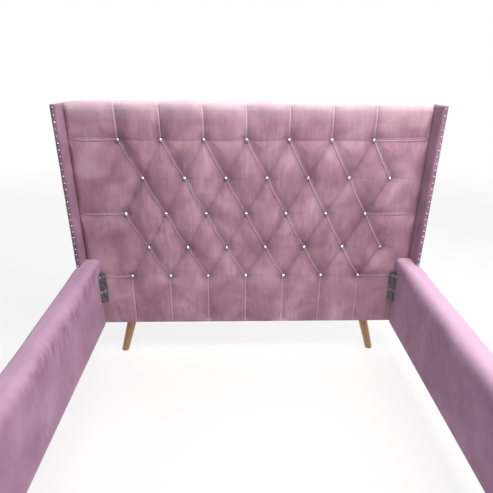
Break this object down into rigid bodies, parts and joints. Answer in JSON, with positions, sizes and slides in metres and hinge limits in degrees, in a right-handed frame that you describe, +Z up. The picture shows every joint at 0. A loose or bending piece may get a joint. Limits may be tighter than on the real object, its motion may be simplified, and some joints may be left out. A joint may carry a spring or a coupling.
{
  "type": "upholstered bed",
  "caption": "Bed with a winged, diamond-tufted headboard with crystal buttons, padded side rails, a low padded footboard and splayed wooden legs, open inside for a base and mattress.",
  "frame": {"origin": "floor level, at the middle of the bed's width and overall length", "axes": "+X across the bed, to the right seen from its foot; +Y from the foot to the headboard; +Z up"},
  "size_m": [1.68, 2.1812, 1.348],
  "materials": {
    "velvet": "soft crushed pile, dusty mauve pink",
    "dust_cloth": "thin non-woven dust cloth",
    "timber": "planed pine, unfinished",
    "board": "plain plywood",
    "leg_wood": "turned beech, stained and lacquered",
    "leg_plate": "black painted steel",
    "bracket": "dull zinc-plated steel",
    "fastener": "bright zinc-plated steel",
    "crystal": "cut and polished",
    "crystal_cup": "polished"
  },
  "bodies": {
    "root": {"bracket_bolts": "fastener", "bracket_nuts": "fastener", "corner_bracket_foot_left": "bracket", "corner_bracket_foot_right": "bracket", "corner_bracket_head_left": "bracket", "corner_bracket_head_right": "bracket", "footboard_battens": "timber", "footboard_lining": "dust_cloth", "footboard_pad": "velvet", "footboard_skins": "board", "headboard_back_lining": "dust_cloth", "headboard_bottom_rail": "timber", "headboard_face_panel": "board", "headboard_middle_rail": "timber", "headboard_stile_left": "timber", "headboard_stile_right": "timber", "headboard_top_rail": "timber", "headboard_tufted_pad": "velvet", "headboard_uprights": "timber", "leg_bolts": "fastener", "leg_foot_left": "leg_wood", "leg_foot_right": "leg_wood", "leg_head_left": "leg_wood", "leg_head_right": "leg_wood", "leg_plate_foot_left": "leg_plate", "leg_plate_foot_right": "leg_plate", "leg_plate_head_left": "leg_plate", "leg_plate_head_right": "leg_plate", "rail_battens_left": "timber", "rail_battens_right": "timber", "rail_lining_left": "dust_cloth", "rail_lining_right": "dust_cloth", "rail_pad_left": "velvet", "rail_pad_right": "velvet", "rail_skins_left": "board", "rail_skins_right": "board", "tuft_crystals": "crystal", "tuft_cups": "crystal_cup", "wing_board_left": "board", "wing_board_right": "board", "wing_cover_left": "velvet", "wing_cover_right": "velvet", "wing_screws": "fastener", "wing_studs_left": "crystal", "wing_studs_right": "crystal"}
  },
  "joints": []
}
